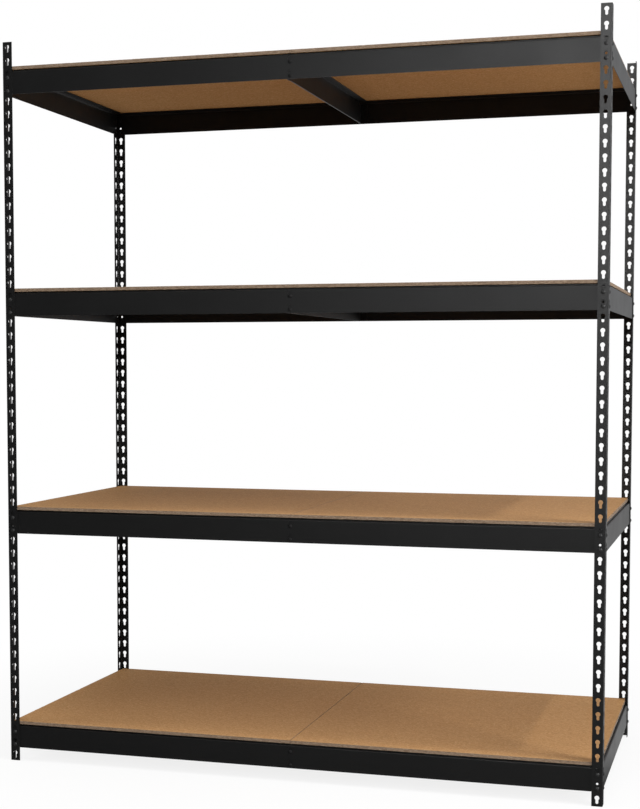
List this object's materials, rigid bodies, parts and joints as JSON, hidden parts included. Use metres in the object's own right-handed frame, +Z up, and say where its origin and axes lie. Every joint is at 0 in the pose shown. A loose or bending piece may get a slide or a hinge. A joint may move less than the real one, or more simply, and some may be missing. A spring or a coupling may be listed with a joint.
{
  "type": "boltless steel shelving unit",
  "caption": "Open boltless shelving: slotted angle posts carry stepped steel beams on headed rivets in keyholes, with particle-board decks that lift off.",
  "frame": {"origin": "on the floor, under the middle of the unit", "axes": "+X to the right along the long beams, -Y out of the front, +Z up"},
  "size_m": [1.768, 0.85, 2.1336],
  "materials": {
    "post_steel": "satin black powder coat, fine texture",
    "beam_steel": "satin black powder coat, smooth",
    "rivet_steel": "satin black powder coat over a domed head",
    "particle_board": "sanded raw particle board"
  },
  "bodies": {
    "posts": {"post_front_left": "post_steel", "post_front_right": "post_steel", "post_rear_left": "post_steel", "post_rear_right": "post_steel"},
    "level_1": {"level_1_front_beam": "beam_steel", "level_1_rear_beam": "beam_steel", "level_1_left_beam": "beam_steel", "level_1_right_beam": "beam_steel", "level_1_long_beam_rivets": "rivet_steel", "level_1_side_beam_rivets": "rivet_steel", "level_1_centre_support": "beam_steel", "level_1_support_rivets": "rivet_steel"},
    "level_1_deck_left": {"level_1_deck_left": "particle_board"},
    "level_1_deck_right": {"level_1_deck_right": "particle_board"},
    "level_2": {"level_2_front_beam": "beam_steel", "level_2_rear_beam": "beam_steel", "level_2_left_beam": "beam_steel", "level_2_right_beam": "beam_steel", "level_2_long_beam_rivets": "rivet_steel", "level_2_side_beam_rivets": "rivet_steel", "level_2_centre_support": "beam_steel", "level_2_support_rivets": "rivet_steel"},
    "level_2_deck_left": {"level_2_deck_left": "particle_board"},
    "level_2_deck_right": {"level_2_deck_right": "particle_board"},
    "level_3": {"level_3_front_beam": "beam_steel", "level_3_rear_beam": "beam_steel", "level_3_left_beam": "beam_steel", "level_3_right_beam": "beam_steel", "level_3_long_beam_rivets": "rivet_steel", "level_3_side_beam_rivets": "rivet_steel", "level_3_centre_support": "beam_steel", "level_3_support_rivets": "rivet_steel"},
    "level_3_deck_left": {"level_3_deck_left": "particle_board"},
    "level_3_deck_right": {"level_3_deck_right": "particle_board"},
    "level_4": {"level_4_front_beam": "beam_steel", "level_4_rear_beam": "beam_steel", "level_4_left_beam": "beam_steel", "level_4_right_beam": "beam_steel", "level_4_long_beam_rivets": "rivet_steel", "level_4_side_beam_rivets": "rivet_steel", "level_4_centre_support": "beam_steel", "level_4_support_rivets": "rivet_steel"},
    "level_4_deck_left": {"level_4_deck_left": "particle_board"},
    "level_4_deck_right": {"level_4_deck_right": "particle_board"}
  },
  "joints": [
    {"name": "level_1_unhook", "type": "slide", "parent": "posts", "child": "level_1", "axis": [0, 0, 1], "range_m": [0, 0.0127]},
    {"name": "level_1_deck_left_lift", "type": "slide", "parent": "level_1", "child": "level_1_deck_left", "axis": [0, 0, 1], "range_m": [0, 0.3]},
    {"name": "level_1_deck_right_lift", "type": "slide", "parent": "level_1", "child": "level_1_deck_right", "axis": [0, 0, 1], "range_m": [0, 0.3]},
    {"name": "level_2_unhook", "type": "slide", "parent": "posts", "child": "level_2", "axis": [0, 0, 1], "range_m": [0, 0.0127]},
    {"name": "level_2_deck_left_lift", "type": "slide", "parent": "level_2", "child": "level_2_deck_left", "axis": [0, 0, 1], "range_m": [0, 0.3]},
    {"name": "level_2_deck_right_lift", "type": "slide", "parent": "level_2", "child": "level_2_deck_right", "axis": [0, 0, 1], "range_m": [0, 0.3]},
    {"name": "level_3_unhook", "type": "slide", "parent": "posts", "child": "level_3", "axis": [0, 0, 1], "range_m": [0, 0.0127]},
    {"name": "level_3_deck_left_lift", "type": "slide", "parent": "level_3", "child": "level_3_deck_left", "axis": [0, 0, 1], "range_m": [0, 0.3]},
    {"name": "level_3_deck_right_lift", "type": "slide", "parent": "level_3", "child": "level_3_deck_right", "axis": [0, 0, 1], "range_m": [0, 0.3]},
    {"name": "level_4_unhook", "type": "slide", "parent": "posts", "child": "level_4", "axis": [0, 0, 1], "range_m": [0, 0.0127]},
    {"name": "level_4_deck_left_lift", "type": "slide", "parent": "level_4", "child": "level_4_deck_left", "axis": [0, 0, 1], "range_m": [0, 0.3]},
    {"name": "level_4_deck_right_lift", "type": "slide", "parent": "level_4", "child": "level_4_deck_right", "axis": [0, 0, 1], "range_m": [0, 0.3]}
  ]
}
